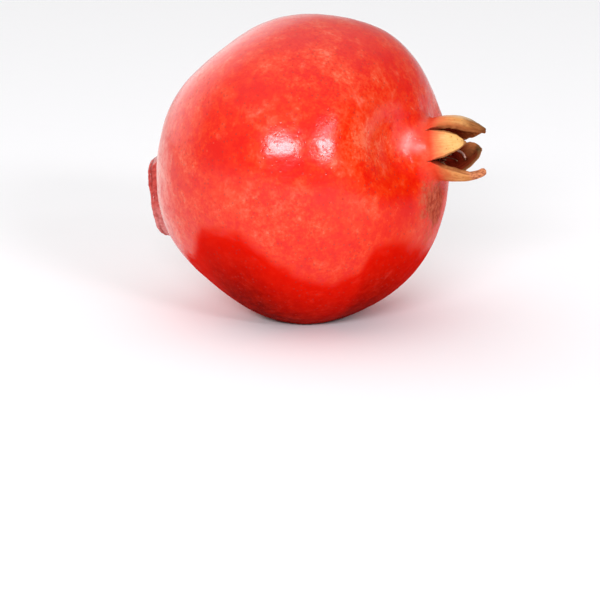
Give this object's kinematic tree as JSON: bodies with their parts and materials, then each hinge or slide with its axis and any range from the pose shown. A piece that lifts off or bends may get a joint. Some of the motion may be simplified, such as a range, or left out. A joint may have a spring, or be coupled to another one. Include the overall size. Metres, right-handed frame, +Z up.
{
  "type": "pomegranate",
  "caption": "Whole pomegranate with a leathery red rind, an open dried calyx crown at one end and a cut stem at the other, lying on its side.",
  "frame": {"origin": "centre of the bounding box's lower face, on the plane that the fruit's flat spot rests on", "axes": "+X along the fruit's length towards the calyx crown, as seen from above (the fruit's own axis is raised 11.7 degrees from +X towards +Z); +Z up; +Y across the fruit"},
  "size_m": [0.102, 0.09, 0.0878],
  "materials": {
    "rind": "waxy, mottled coral and deep red, dry tan calyx",
    "dried_stamen": "dry, matt",
    "stem_wood": "dry cut wood, matt"
  },
  "bodies": {
    "root": {"fruit": "rind", "stamens": "dried_stamen", "stem_stub": "stem_wood"}
  },
  "joints": []
}
